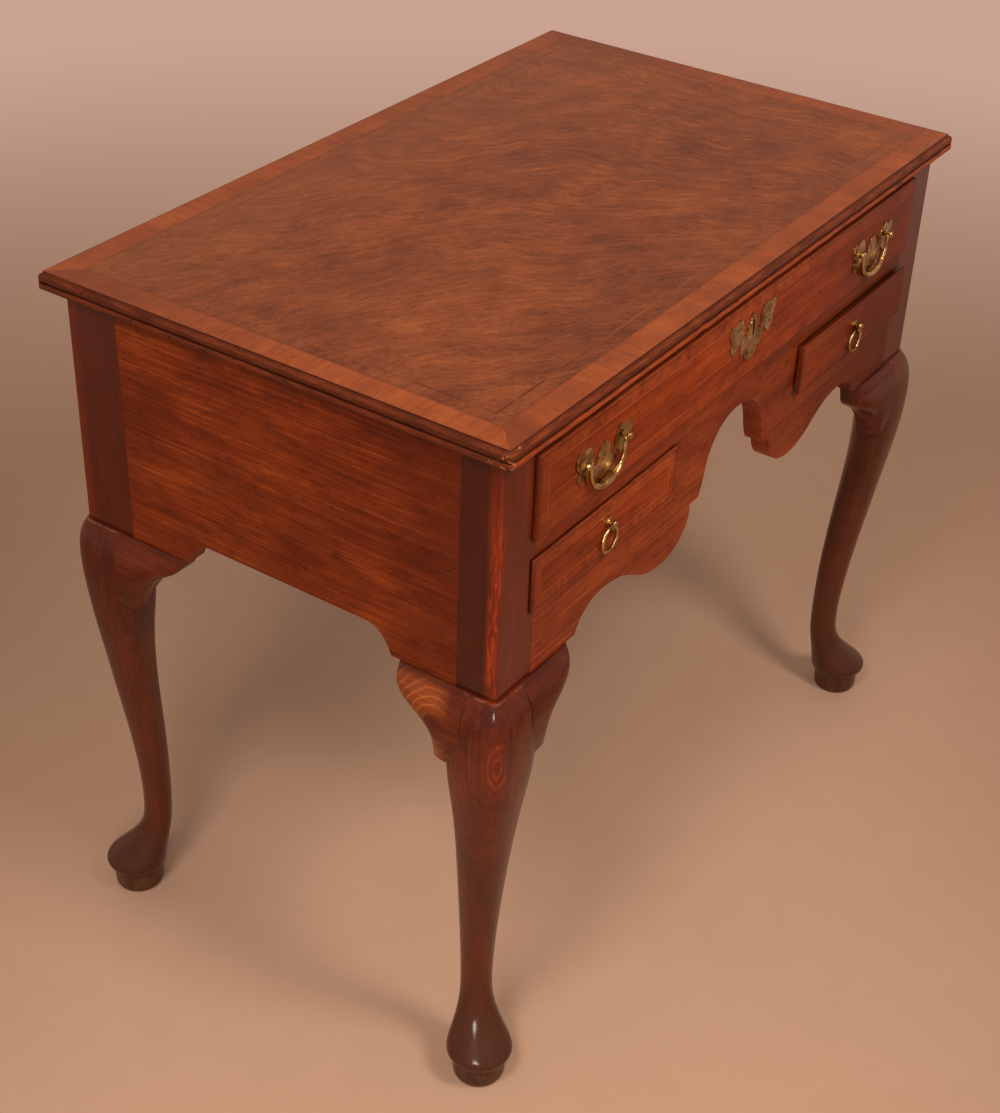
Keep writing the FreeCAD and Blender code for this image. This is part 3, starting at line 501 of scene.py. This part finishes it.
# Knee: loops of growth, plainest on the near left leg
def knee_look(s, wood, corner, strength, colour):
    drop = (s.z - 404) * 0.30
    oval = s.math("SQRT", corner.side * corner.side + drop * drop)
    oval = oval + (wood.wide - 0.5) * 6 + (corner.loop - 0.5) * 9
    eye = s.math("SINE", oval * 1.75)
    knee = s.rise(oval, 15, 5) * s.rise(corner.out, -24, 0) * s.rise(s.z, KNEE_Z - 3, KNEE_Z - 12)
    knee = knee * strength
    colour = s.tint(colour, knee * 0.5, 124, 40, 14)
    light = eye.above(0.1, 0.95) * wood.patch.above(0.3, 0.6)
    colour = s.tint(colour, knee * light * 0.5, 176, 70, 26)
    return s.tint(colour, knee * eye.above(-0.3, -0.95) * 0.35, 66, 21, 9)


# Shank: a warm stripe, cross ripple and browner wood lower down
def shank_look(s, wood, corner, ripple, colour):
    stripe = s.rise(s.z, 380, 330) * s.rise(s.z, 110, 180)
    stripe = stripe * s.rise(corner.side.size() + corner.sway * 12, 13, 3) * s.rise(corner.out, -60, -20)
    colour = s.tint(colour, stripe * wood.patch.above(0.36, 0.62) * 0.45, 124, 42, 15)
    ribs = ripple.above(0.55, 0.68) * s.rise(s.z, 440, 400) * s.rise(s.z, 60, 120)
    colour = s.tint(colour, ribs * 0.16, 138, 56, 24)
    return s.tint(colour, s.rise(s.z, 430, 150) * 0.5, 88, 43, 23)


# Foot: dark pad, dull shoe, and wear along the line between them
def foot_look(s, wood, shoe, colour):
    colour = s.tint(colour, s.rise(s.z, 120, 50) * 0.6, 60, 35, 20)
    dull = s.ramp(wood.grime, [(0.3, 58, 31, 18), (0.7, 104, 64, 40)])
    colour = s.mix(shoe * 0.75, colour, dull)
    colour = s.tint(colour, s.z.between(24.4, 25.4, 0.3) * 0.7, 20, 10, 7)
    worn = s.z.between(26.2, 28.0, 0.4) * wood.grime.above(0.38, 0.56)
    return s.tint(colour, worn * 0.4, 150, 96, 64)


# Joint over the knee: a dark line with dust below it
def knee_joint(s, wood, colour):
    colour = s.tint(colour, s.z.between(KNEE_Z + 0.4, KNEE_Z + 3.5, 0.5) * 0.5, 30, 11, 6)
    dust = s.z.between(KNEE_Z - 2.0, KNEE_Z - 0.4, 0.4) * wood.grime.above(0.40, 0.60)
    return s.tint(colour, dust * 0.35, 158, 108, 76)


# Legs, each in one piece from post to foot, with the grain upright
def leg_material(name, right, back):
    s = Shade(name)
    x, y, z = s.x, s.y, s.z
    corner = Corner(s, right, back)
    wood = Oak(s, z, x + y * 0.3, y - x * 0.3, 4, 8)
    ripple = s.noise(x / 9, y / 9, z / 1.3, 3, 0.6)
    shoe = s.rise(z, 26.5, 24.5)
    colour = s.ramp(wood.tone(0.3, 0.3, 0.5, 0.4), PALETTES["leg"])
    colour = post_look(s, wood, corner, back, colour)
    if right and not back:
        colour = s.tint(colour, 0.3, 84, 46, 26)
    colour = knee_look(s, wood, corner, 0.3 if right or back else 1.0, colour)
    colour = shank_look(s, wood, corner, ripple, colour)
    colour = foot_look(s, wood, shoe, colour)
    colour = knee_joint(s, wood, colour)
    # Painted shadow under the overhanging top
    colour = s.tint(colour, s.rise(z, 684, 695) * 0.5, 34, 12, 7)
    colour = gap_shade(s, colour)
    colour = s.tint(colour, wood.pores * 0.3, 30, 11, 6)
    colour = s.tint(colour, wood.grime.above(0.60, 0.75) * 0.3, 38, 14, 8)
    colour = s.tint(colour, specks(s, z, x, y) * 0.7, 18, 8, 5)
    colour = s.tint(colour, scratches(s, z, x, y) * 0.2, 150, 88, 54)
    rough = 0.40 + (wood.patch - 0.5) * 0.16 + wood.pores * 0.08 + shoe * 0.25
    bump = wood.bump() * 0.7 + ripple * 0.12
    return s.finish(colour, rough, bump, 0.00022, 0.35, coat=0.65, coat_rough=0.15, shine=0.05)


# Rounding of the near side ear: golden wood with thin pale arcs
def ear_arcs(s, wood, along, tone, colour):
    wave = s.noise(s.x / 18, s.y / 18, s.z / 18, 3) - 0.5
    over = along.size() - 181
    ring = s.math("SQRT", over * over + (s.z - 420) * (s.z - 420)) + wave * 5
    arcs = s.math("SINE", ring * 0.95)
    gold = s.ramp(tone, [(0.05, 98, 42, 16), (0.4, 130, 61, 25), (0.7, 156, 79, 35), (1.0, 174, 95, 45)])
    gold = s.tint(gold, arcs.above(0.72, 0.98) * wood.patch.above(0.3, 0.55) * 0.42, 206, 122, 62)
    gold = s.tint(gold, arcs.above(0.3, -0.9) * 0.18, 82, 34, 14)
    left = s.rise(ring, 6, 24) * s.rise(along.size(), 197, 176) * s.rise(s.x, 0, -10)
    return s.mix(left * s.rise(s.y, 0, -10) * s.rise(s.z, 464, 444), colour, gold)


# Ears: grain along the rail
def ear_material(name, on_side):
    s = Shade(name)
    along, out = (s.y, s.x) if on_side else (s.x, s.y)
    wood = Oak(s, along, s.z, out, 5, 8)
    tone = wood.tone(0.3, 0.35, 0.5, 0.3)
    colour = s.ramp(tone, PALETTES["leg"])
    if on_side:
        colour = ear_arcs(s, wood, along, tone, colour)
    colour = s.tint(colour, s.rise(s.z, 456, 460.5) * 0.35, 30, 12, 7)
    colour = s.tint(colour, wood.pores * 0.3, 30, 11, 6)
    colour = s.tint(colour, specks(s, along, s.z, out) * 0.6, 18, 8, 5)
    rough = 0.40 + (wood.patch - 0.5) * 0.16
    bump = wood.bump() * 0.7
    return s.finish(colour, rough, bump, 0.00022, 0.35, coat=0.5, coat_rough=0.10, shine=0.08)


# Side boards: darker low down, in a band at mid height and by the posts
def side_shading(s, wood, colour):
    low = s.rise(s.z + (wood.wide - 0.5) * 60, 512, 470)
    colour = s.tint(colour, low * 0.25, 84, 28, 11)
    middle = s.rise((s.z - 565 + (wood.wide - 0.5) * 80).size(), 26, 4)
    colour = s.tint(colour, middle * 0.25, 82, 26, 10)
    colour = s.tint(colour, s.rise(s.y, -110, -190) * 0.4, 76, 25, 10)
    rim = s.rise(s.y, -190.6, -192.2).high(s.rise(s.y, 172.4, 173.7))
    return s.tint(colour, rim * 0.45, 40, 14, 7)


# Rails and apron: painted shade darker to the right, dark joints at the posts, and painted shade round the
# drawers
def rail_shading(s, colour):
    # Painted shade: darker towards the right
    colour = s.tint(colour, s.rise(s.x, 0, 330) * 0.75, 76, 27, 11)
    joint = s.rise(CASE_X - POST_WIDE - s.x.size(), 1.6, 0.4)
    joint = joint * s.rise(s.y, CASE_FRONT + 3, CASE_FRONT + 1)
    colour = s.tint(colour, joint * 0.6, 36, 12, 6)
    return gap_shade(s, colour)


# Flat boards of the case, with bright threads in the grain
def board_material(name, on_side):
    s = Shade(name)
    x, y, z = s.x, s.y, s.z
    u, v, w = (y, z, x) if on_side else (x, z, y)
    wood = Oak(s, u, v, w, 4, 14)
    threads = s.noise(u / 150, v / 1.5, w / 1.5, 3, 0.6)
    tone = wood.tone(0.4, 0.3, 0.5, 0.4) + (threads - 0.5) * 0.5
    colour = s.ramp(tone, PALETTES["side" if on_side else "front"])
    bright = rgb(188, 82, 30) if on_side else rgb(172, 76, 32)
    high = s.rise(z + (wood.wide - 0.5) * 90, 560, 640) * 0.7 + 0.3 if on_side else 0.8
    lit = threads.above(0.57, 0.70) * wood.patch.above(0.40, 0.64) * high
    colour = s.mix(lit * 0.6, colour, bright)
    colour = s.tint(colour, threads.above(0.42, 0.30) * 0.28, 66, 20, 8)
    colour = s.tint(colour, wood.dash.above(0.42, 0.30) * 0.22, 66, 20, 8)
    colour = s.tint(colour, wood.pores * 0.5, 46, 15, 7)
    colour = s.tint(colour, wood.grime.above(0.52, 0.70) * 0.42, 54, 17, 8)
    colour = side_shading(s, wood, colour) if on_side else rail_shading(s, colour)
    # Painted shadow under the overhanging top
    colour = s.tint(colour, s.rise(z, 684, 694) * 0.5, 34, 12, 7)
    colour = s.tint(colour, specks(s, u, v, w) * 0.7, 26, 9, 5)
    colour = s.tint(colour, scratches(s, u, v, w) * 0.2, 190, 106, 60)
    rough = 0.40 + (wood.patch - 0.5) * 0.22 + wood.pores * 0.1
    return s.finish(colour, rough, wood.bump(), 0.00035, 0.45)


# Cross-grained border of a drawer front, with mitres and a soft light line inside it
def front_border(s, near, upright, border, patch, wood, field):
    run = s.noise(s.x / 3.6, s.z / 120, 0, 3, 0.6)
    climb = s.noise(s.x / 120, s.z / 3.6, 0, 3, 0.6)
    cross = run + (climb - run) * upright.above(-0.1, 0.1)
    band = s.ramp((cross - 0.5) * 0.9 + (patch - 0.5) * 1.0 + 0.5,
                  [(0.1, 112, 38, 13), (0.5, 150, 58, 20), (0.9, 186, 84, 34)])
    colour = s.mix(near.above(border + 0.2, border - 0.2), field, band)
    mitre = s.rise(upright.size(), 0.5, 0.2) * near.above(border, border - 0.5)
    colour = s.tint(colour, mitre * 0.35, 62, 22, 10)
    fade = 1 - s.rise(s.x, -180, 40) * 0.55
    line = near.between(border - 0.2, border + 2.2, 0.6) * fade
    colour = s.tint(colour, line * (wood.grime.above(0.30, 0.5) * 0.3 + 0.14), 190, 92, 40)
    return s.tint(colour, near.between(border + 2.4, border + 3.4, 0.4) * 0.35, 66, 22, 9)


# Wear and painted light on a drawer front: lighter top border, painted shade along the lip and on its left
# edge, a painted highlight on the lip's top edge where worn, ends darker with the right end as painted shade
def front_wear(s, name, near, upright, patch, wood, colour):
    x0, _, _, z1, border = FRONTS[name]
    down = z1 - s.z
    upper = s.rise(down, border, border - 2) * upright.above(0.5, -0.5)
    colour = s.tint(colour, upper * patch.above(0.3, 0.6) * 0.4, 184, 86, 36)
    # Painted shade along the moulded lip
    colour = s.tint(colour, s.rise(near, 4.2, 2.4) * 0.5, 66, 22, 9)
    # Painted highlight on the top edge of the lip, stronger where worn
    lip_wear_and_highlight = near.between(0.3, 1.4, 0.3) * s.rise(down, 3, 1)
    colour = s.tint(colour, lip_wear_and_highlight * (wood.grime.above(0.42, 0.58) * 0.5 + 0.1), 184, 86, 38)
    # Painted shade on the rounded left edge of the lip
    edge = (s.x - x0).between(-0.2, 0.9, 0.3).high((s.x - x0).between(2.6, 3.6, 0.3))
    colour = s.tint(colour, edge * 0.4, 50, 16, 7)
    # Left end darker; the right end darker as painted shade
    colour = s.tint(colour, s.rise(s.x, -210, -330) * 0.38, 88, 34, 13)
    deep = 0.8 if name == "small_right_front" else 0.55
    return s.tint(colour, s.rise(s.x, 40, 300) * deep, 82, 24, 9)


# Drawer fronts, bare behind the lip
def front_material(name, shift):
    s = Shade("oak_" + name)
    x0, x1, z0, z1, border = FRONTS[name]
    x, y, z = s.x, s.y, s.z
    from_side = (x - x0).low(x1 - x)
    from_end = (z - z0).low(z1 - z)
    near = from_side.low(from_end)
    upright = from_end - from_side
    wood = Oak(s, x + shift, z, y, 5, 16)
    threads = s.noise((x + shift) / 130, z / 1.4, y / 1.4, 3, 0.6)
    patch = s.noise(x / 30, z / 30, 3, 3, 0.6)
    field = s.ramp(wood.tone(0.4, 0.3, 0.5, 0.4) + (threads - 0.5) * 0.45, PALETTES["drawer"])
    field = s.tint(field, threads.above(0.58, 0.70) * 0.3, 186, 88, 36)
    colour = front_border(s, near, upright, border, patch, wood, field)
    colour = front_wear(s, name, near, upright, patch, wood, colour)
    colour = s.tint(colour, wood.pores * 0.35, 50, 16, 7)
    colour = s.tint(colour, wood.grime.above(0.53, 0.70) * 0.42, 60, 20, 8)
    colour = s.tint(colour, specks(s, x, z, y) * 0.7, 26, 9, 5)
    colour = s.tint(colour, scratches(s, x, z, y) * 0.2, 200, 114, 66)
    back = s.rise(y, CASE_FRONT + 3, CASE_FRONT + 8)
    bare = s.ramp(wood.tone(0.5, 0.4, 0.4, 0.3), PALETTES["lining"])
    colour = s.mix(back, colour, bare)
    rough = 0.38 + (wood.patch - 0.5) * 0.22 + wood.pores * 0.1 + back * 0.3
    return s.finish(colour, rough, wood.bump(), 0.00035, 0.45)


# Unpolished oak inside the case and the drawers
def bare_material(name, order, palette):
    s = Shade(name)
    place = [getattr(s, axis) for axis in order]
    wood = Oak(s, *place, 9, 20)
    colour = s.ramp(wood.tone(0.4, 0.4, 0.5, 0.4), PALETTES[palette])
    colour = s.tint(colour, wood.pores * 0.4, 60, 40, 24)
    colour = s.tint(colour, wood.grime.above(0.54, 0.74) * 0.5, 64, 44, 30)
    colour = s.tint(colour, specks(s, *place) * 0.6, 40, 26, 16)
    return s.finish(colour, 0.72 + (wood.patch - 0.5) * 0.2, wood.bump(), 0.0005, 0.6, coat=0.0)


# Brass, a little tarnished and pitted
def brass_material(name, shift):
    s = Shade(name)
    x, y, z = s.x + shift, s.y, s.z
    broad = s.noise(x / 11, y / 11, z / 11, 3, 0.6)
    fine = s.noise(x / 1.6, y / 1.6, z / 1.6, 3, 0.6)
    pits = s.noise(x / 0.7, y / 0.7, z / 0.7, 2)
    colour = s.ramp((broad - 0.5) * 1.4 + (fine - 0.5) * 0.7 + 0.5,
                    [(0.1, 106, 80, 46), (0.42, 164, 132, 82), (0.65, 204, 176, 124), (0.95, 242, 226, 190)])
    colour = s.tint(colour, pits.above(0.62, 0.72) * 0.5, 64, 44, 26)
    rough = 0.16 + (broad - 0.5) * 0.16 + (fine - 0.5) * 0.1
    bump = fine * 0.7 + broad * 3 + pits * 0.2
    return s.finish(colour, rough, bump, 0.0005, 0.6, metal=1.0, coat=0.0, shine=0.5)


# Iron of the lock, dark with a little rust
def iron_material():
    s = Shade("iron")
    broad = s.noise(s.x / 9, s.y / 9, s.z / 9, 4, 0.6)
    fine = s.noise(s.x / 1.2, s.y / 1.2, s.z / 1.2, 3)
    colour = s.ramp((broad - 0.5) * 1.4 + (fine - 0.5) + 0.5,
                    [(0.1, 40, 34, 30), (0.5, 74, 66, 60), (0.9, 104, 78, 58)])
    return s.finish(colour, 0.5 + (fine - 0.5) * 0.3, fine, 0.0003, 0.6, metal=0.8, coat=0.0)


# The top's mesh again, cut every few millimetres so that wear can bend its edge
def cut_top():
    data = nodes["top_board"].data.copy()
    shape = bmesh.new()
    shape.from_mesh(data)
    bmesh.ops.remove_doubles(shape, verts=shape.verts, dist=WELD_REACH)
    spans = (
        (Vector((1, 0, 0)), 0.0, TOP_X),
        (Vector((0, 1, 0)), (TOP_FRONT + TOP_BACK) / 2, TOP_HALF_DEEP),
    )
    for normal, middle, reach in spans:
        steps = round(reach / CUT_PITCH)
        for step in range(-steps, steps + 1):
            place = middle + step * CUT_PITCH
            if abs(step) == steps:
                place = middle + reach * 0.996 * step / steps
            parts = shape.verts[:] + shape.edges[:] + shape.faces[:]
            bmesh.ops.bisect_plane(shape, geom=parts, plane_co=normal * (place / MM), plane_no=normal)
    return data, shape


# Knocks in the moulding by place, width and depth, the first two at the corner nearest in the photo
def knock_places():
    random.seed(7)
    knocks = [
        (Vector((-TOP_X, TOP_FRONT, BEAD_Z)), 9.0, 1.6),
        (Vector((-TOP_X + 3, TOP_FRONT + 3, HOLLOW_Z + 2)), 7.0, 1.2),
    ]
    for _ in range(KNOCK_COUNT):
        at_side = random.random() < 0.4
        x = random.uniform(-TOP_X, TOP_X)
        y = TOP_FRONT
        if at_side:
            x = random.choice((-TOP_X, TOP_X))
            y = random.uniform(TOP_FRONT, TOP_BACK)
        place = Vector((x, y, random.choice((BEAD_Z, HOLLOW_Z))))
        knocks.append((place, random.uniform(3, 7), random.uniform(0.4, 1.1)))
    return knocks


# How deep the moulding is worn at a point, fading out where the flat top begins
def wear_depth(point, inset, knocks):
    wear = 0.25 + 0.35 * noise.noise(point / 17) + 0.2 * noise.noise(point / 5)
    for place, wide, deep in knocks:
        apart = (point - place).length
        if apart < wide:
            wear += deep * (1 - (apart / wide) ** 2)
    return max(wear, 0.0) * min((MOULDING_WIDE + 0.2 - inset) / 1.5, 1.0)


# The top with its moulded edge worn uneven and knocked in places
def worn_top():
    data, shape = cut_top()
    knocks = knock_places()
    for vertex in shape.verts:
        point = vertex.co * MM
        inset = min(TOP_X - abs(point.x), point.y - TOP_FRONT, TOP_BACK - point.y)
        if inset > MOULDING_WIDE:
            continue
        core_x = max(min(point.x, TOP_X - CORE_IN), CORE_IN - TOP_X)
        core_y = max(min(point.y, TOP_BACK - CORE_IN), TOP_FRONT + CORE_IN)
        inward = (Vector((core_x, core_y, point.z)) - point).normalized()
        vertex.co = (point + inward * wear_depth(point, inset, knocks)) / MM
    shape.to_mesh(data)
    shape.free()
    data.shade_smooth()
    data.set_sharp_from_angle(angle=math.radians(38))
    made = bpy.data.objects.new("worn_top", data)
    bpy.context.scene.collection.objects.link(made)
    data.materials.clear()
    data.materials.append(top_material())
    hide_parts("top_board")
    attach(made, "carcase")


worn_top()


# Pieces take their materials
def give(name, material):
    data = nodes[name].data
    data.materials.clear()
    data.materials.append(material)


band_x = band_material("crossband_x", False)
band_y = band_material("crossband_y", True)
give("band_front", band_x)
give("band_back", band_x)
give("band_left", band_y)
give("band_right", band_y)
give("top_line", line_material())
for back in (False, True):
    for right in (False, True):
        place = ("back" if back else "front") + "_" + ("right" if right else "left")
        give("leg_" + place, leg_material("oak_leg_" + place, right, back))
for number, name in enumerate(FRONTS):
    give(name, front_material(name, number * 330))

side_ear = ear_material("oak_ear_side", True)
face_ear = ear_material("oak_ear_face", False)
side_board = board_material("oak_side", True)
rail = board_material("oak_rail", False)
inner_x = bare_material("inner_x", "xzy", "inner")
inner_y = bare_material("inner_y", "yzx", "inner")
lining_x = bare_material("lining_x", "xzy", "lining")
lining_y = bare_material("lining_y", "yzx", "lining")
brass_one = brass_material("brass_one", 0)
brass_two = brass_material("brass_two", 41)
iron = iron_material()
for name in nodes:
    if name.startswith("ear_"):
        give(name, face_ear if name.endswith("face") else side_ear)
    elif name.startswith("side_board"):
        give(name, side_board)
    elif name in ("top_rail", "mid_rail", "apron"):
        give(name, rail)
    elif name == "back_board":
        give(name, inner_x)
    elif "runner" in name:
        give(name, inner_y)
    elif name.endswith(("side_left", "side_right", "_bottom")):
        give(name, lining_y)
    elif name in ("long_back", "small_left_back", "small_right_back"):
        give(name, lining_x)
    elif name.startswith(("plate", "post", "bail", "stud", "ring", "escutcheon")):
        give(name, brass_two if "right" in name else brass_one)
    elif name.startswith("lock"):
        give(name, iron)


# Eased edges, as years of use leave them
def ease(names, width):
    for name in names:
        weld = nodes[name].modifiers.new("weld", "WELD")
        weld.merge_threshold = WELD_REACH
        bevel = nodes[name].modifiers.new("bevel", "BEVEL")
        bevel.width = width
        bevel.segments = 2
        bevel.limit_method = "ANGLE"
        bevel.angle_limit = math.radians(40)


ease([name for name in nodes if name.startswith(("plate", "escutcheon"))], BRASS_EASE)
ease(FRONTS, FRONT_EASE)


# Share of the paths on which the backdrop shows: camera, glossy and transmission
def seen_paths(tree):
    paths = tree.nodes.new("ShaderNodeLightPath")
    share = paths.outputs["Is Camera Ray"]
    for kind in ("Is Glossy Ray", "Is Transmission Ray"):
        either = tree.nodes.new("ShaderNodeMath")
        either.operation = "MAXIMUM"
        tree.links.new(share, either.inputs[0])
        tree.links.new(paths.outputs[kind], either.inputs[1])
        share = either.outputs[0]
    return share


# Floor: pale and plain, darker to either side as painted shade, turning into the backdrop far from the table
def floor_material():
    s = Shade("floor")
    broad = s.noise(s.x / 600, s.y / 600, 0, 3)
    fine = s.noise(s.x / 40, s.y / 40, 0, 4)
    colour = s.ramp((broad - 0.5) * 0.8 + (fine - 0.5) * 0.3 + 0.5,
                    [(0.1, 190, 153, 130), (0.9, 204, 167, 144)])
    # Painted shade: darker towards the left and right of the camera's view
    across = (s.x * 0.57 - s.y * 0.82).size()
    colour = s.tint(colour, s.rise(across, 250, 1100) * 0.85, 152, 114, 92)
    s.finish(colour, 0.7, coat=0.0)
    far = s.rise(s.math("SQRT", s.x * s.x + s.y * s.y), 800, 2700)
    glow = s.node("Emission")
    glow.inputs["Color"].default_value = BACKDROP
    glow.inputs["Strength"].default_value = 1
    choice = s.node("MixShader")
    s.put(choice.inputs[0], Field(s, seen_paths(s.tree)) * far)
    s.tree.links.new(s.bsdf.outputs[0], choice.inputs[1])
    s.tree.links.new(glow.outputs[0], choice.inputs[2])
    s.tree.links.new(choice.outputs[0], s.out.inputs["Surface"])
    return s.material


bpy.ops.mesh.primitive_plane_add(size=16, location=(0, 0, 0))
floor = bpy.context.object
floor.name = "floor"
floor.data.materials.append(floor_material())

# World: pale to the camera, softer as a light
world = bpy.data.worlds.new("studio")
bpy.context.scene.world = world
world.use_nodes = True
tree = world.node_tree
tree.nodes.clear()
soft = tree.nodes.new("ShaderNodeBackground")
soft.inputs["Color"].default_value = (1.0, 0.86, 0.73, 1)
soft.inputs["Strength"].default_value = 0.39
pale = tree.nodes.new("ShaderNodeBackground")
pale.inputs["Color"].default_value = BACKDROP
pale.inputs["Strength"].default_value = 1
choice = tree.nodes.new("ShaderNodeMixShader")
world_out = tree.nodes.new("ShaderNodeOutputWorld")
tree.links.new(seen_paths(tree), choice.inputs[0])
tree.links.new(soft.outputs[0], choice.inputs[1])
tree.links.new(pale.outputs[0], choice.inputs[2])
tree.links.new(choice.outputs[0], world_out.inputs["Surface"])


# Two soft studio lamps either side of the camera and a weak one below it
def lamp(name, place, power, size):
    data = bpy.data.lights.new(name, "AREA")
    data.energy = power
    data.shape = "DISK"
    data.size = size
    data.color = LAMP_COLOUR
    made = bpy.data.objects.new(name, data)
    bpy.context.scene.collection.objects.link(made)
    made.location = place
    made.rotation_mode = "QUATERNION"
    made.rotation_quaternion = (LAMP_AIM - Vector(place)).to_track_quat("-Z", "Y")


lamp("lamp_right", (-0.27, -1.62, 2.35), 25, 0.60)
lamp("lamp_left", (-1.60, -0.38, 2.25), 21, 0.60)
lamp("lamp_low", (-1.55, -0.75, 0.95), 6.0, 0.36)

# Camera at the photograph's place, by the directions of the picture's right, down and depth
right = Vector((0.57010, -0.82098, 0.03139))
down = Vector((-0.44751, -0.34234, -0.82616))
ahead = Vector((0.68900, 0.45694, -0.56257))
turn = Matrix((right, -down, -ahead)).transposed().to_quaternion().to_matrix().to_4x4()
lens = bpy.data.cameras.new("camera")
lens.sensor_width = 36
lens.lens = lens.sensor_width * FOCAL_PIXELS / PHOTO_HEIGHT
lens.clip_start = 0.05
lens.clip_end = 60
camera = bpy.data.objects.new("camera", lens)
bpy.context.scene.collection.objects.link(camera)
camera.matrix_world = Matrix.Translation(CAMERA_PLACE) @ turn
bpy.context.scene.camera = camera
bpy.context.scene.view_settings.view_transform = "Standard"

bpy.context.view_layer.update()
